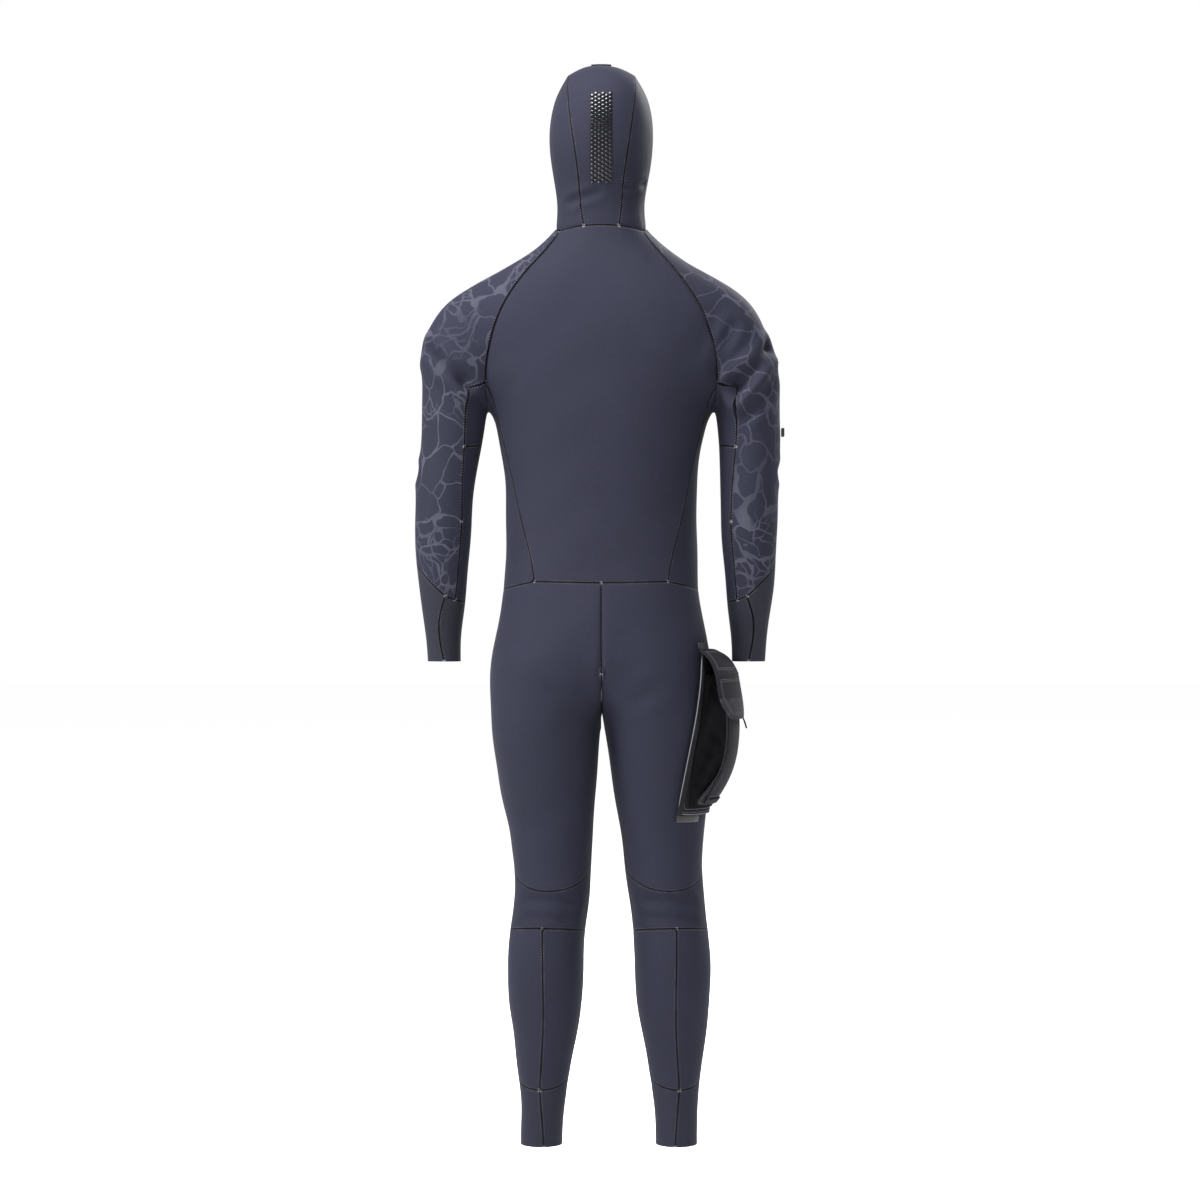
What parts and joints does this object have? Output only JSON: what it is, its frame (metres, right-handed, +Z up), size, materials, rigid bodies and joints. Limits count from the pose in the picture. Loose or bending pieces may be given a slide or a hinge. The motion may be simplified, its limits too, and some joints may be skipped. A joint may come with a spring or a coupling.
{
  "type": "full wetsuit",
  "caption": "Hooded one-piece neoprene wetsuit in its worn shape, with a front zip, printed raglan sleeves and a bellows pocket on the right thigh.",
  "frame": {"origin": "On the plane of the two ankle openings, midway between the legs of a suit that stands square; the stated mount 'wearer' is there.", "axes": "+X to the wearer's right, +Y out of the chest, +Z up to the crown of the hood"},
  "size_m": [0.5906, 0.2515, 1.722],
  "materials": {
    "nylon_faced_neoprene": "matt nylon knit",
    "printed_neoprene": "matt nylon knit with a crackle print",
    "reinforced_neoprene": "matt abrasion knit",
    "smooth_skin_neoprene": "smooth closed skin",
    "moulded_rubber": "satin",
    "bellows_cloth": "matt cloth",
    "webbing": "woven",
    "zip_tape": "woven",
    "zip_coil": "satin",
    "zip_metal": "dull plated"
  },
  "bodies": {
    "suit": {"arm_tab": "moulded_rubber", "back_panel": "nylon_faced_neoprene", "chest_panel_left": "nylon_faced_neoprene", "chest_panel_right": "nylon_faced_neoprene", "face_seal": "smooth_skin_neoprene", "hood_air_valve": "moulded_rubber", "hood_back_panel": "nylon_faced_neoprene", "hood_side_left": "nylon_faced_neoprene", "hood_side_right": "nylon_faced_neoprene", "hood_vent_strip": "moulded_rubber", "inner_sleeve_elbow_left": "nylon_faced_neoprene", "inner_sleeve_elbow_right": "nylon_faced_neoprene", "inner_sleeve_upper_left": "nylon_faced_neoprene", "inner_sleeve_upper_right": "nylon_faced_neoprene", "knee_back_left": "reinforced_neoprene", "knee_back_right": "reinforced_neoprene", "knee_pad_left": "reinforced_neoprene", "knee_pad_right": "reinforced_neoprene", "pocket_base": "reinforced_neoprene", "pocket_bellows": "bellows_cloth", "pocket_binding": "webbing", "pocket_flap_yoke": "printed_neoprene", "pocket_front": "reinforced_neoprene", "pocket_tab_bottom": "moulded_rubber", "pocket_tab_top": "moulded_rubber", "side_panel_left": "nylon_faced_neoprene", "side_panel_right": "nylon_faced_neoprene", "sleeve_elbow_left": "printed_neoprene", "sleeve_elbow_right": "printed_neoprene", "sleeve_upper_left": "printed_neoprene", "sleeve_upper_right": "printed_neoprene", "thigh_back_left": "nylon_faced_neoprene", "thigh_back_right": "nylon_faced_neoprene", "thigh_front_left": "nylon_faced_neoprene", "thigh_front_right": "nylon_faced_neoprene", "throat_panel": "nylon_faced_neoprene", "zip_coil_left": "zip_coil", "zip_coil_right": "zip_coil", "zip_stop": "zip_metal", "zip_tape_left": "zip_tape", "zip_tape_right": "zip_tape", "zip_underflap": "smooth_skin_neoprene"},
    "forearm_right": {"sleeve_lower_right": "printed_neoprene", "inner_sleeve_lower_right": "nylon_faced_neoprene", "forearm_cuff_right": "reinforced_neoprene"},
    "forearm_left": {"sleeve_lower_left": "printed_neoprene", "inner_sleeve_lower_left": "nylon_faced_neoprene", "forearm_cuff_left": "reinforced_neoprene"},
    "lower_leg_right": {"calf_inner_right": "nylon_faced_neoprene", "calf_outer_right": "nylon_faced_neoprene", "shin_front_right": "nylon_faced_neoprene", "ankle_cuff_right": "reinforced_neoprene"},
    "lower_leg_left": {"calf_inner_left": "nylon_faced_neoprene", "calf_outer_left": "nylon_faced_neoprene", "shin_front_left": "nylon_faced_neoprene", "ankle_cuff_left": "reinforced_neoprene"},
    "zip_slider_body": {"zip_slider": "zip_metal"},
    "zip_pull_body": {"zip_pull": "moulded_rubber"},
    "pocket_flap_body": {"pocket_flap": "printed_neoprene", "pocket_flap_pull": "webbing"}
  },
  "joints": [
    {"name": "elbow_right", "type": "hinge", "parent": "suit", "child": "forearm_right", "pos_m": [0.235, -0.012, 1.048], "axis": [1, 0, 0], "range_deg": [0, 60], "stiffness_Nm_per_rad": 0.8, "deforming": ["sleeve_elbow_right", "inner_sleeve_elbow_right"]},
    {"name": "elbow_left", "type": "hinge", "parent": "suit", "child": "forearm_left", "pos_m": [-0.249, -0.012, 1.048], "axis": [1, 0, 0], "range_deg": [0, 60], "stiffness_Nm_per_rad": 0.8, "deforming": ["sleeve_elbow_left", "inner_sleeve_elbow_left"]},
    {"name": "knee_right", "type": "hinge", "parent": "suit", "child": "lower_leg_right", "pos_m": [0.104, -0.025, 0.385], "axis": [1, 0, 0], "range_deg": [-50, 0], "stiffness_Nm_per_rad": 1.5, "deforming": ["knee_back_right", "knee_pad_right"]},
    {"name": "knee_left", "type": "hinge", "parent": "suit", "child": "lower_leg_left", "pos_m": [-0.078, -0.025, 0.385], "axis": [1, 0, 0], "range_deg": [-50, 0], "stiffness_Nm_per_rad": 1.5, "deforming": ["knee_back_left", "knee_pad_left"]},
    {"name": "zip_slide", "type": "slide", "parent": "suit", "child": "zip_slider_body", "axis": [0, 0, 1], "range_m": [-0.38, 0]},
    {"name": "zip_pull_swing", "type": "hinge", "parent": "zip_slider_body", "child": "zip_pull_body", "pos_m": [0, 0.1244, 1.323], "axis": [1, 0, 0], "range_deg": [0, 150]},
    {"name": "pocket_flap_lift", "type": "hinge", "parent": "suit", "child": "pocket_flap_body", "pos_m": [0.195, -0.02, 0.75], "axis": [0, -1, 0], "range_deg": [0, 45], "deforming": ["pocket_flap_yoke"]}
  ]
}
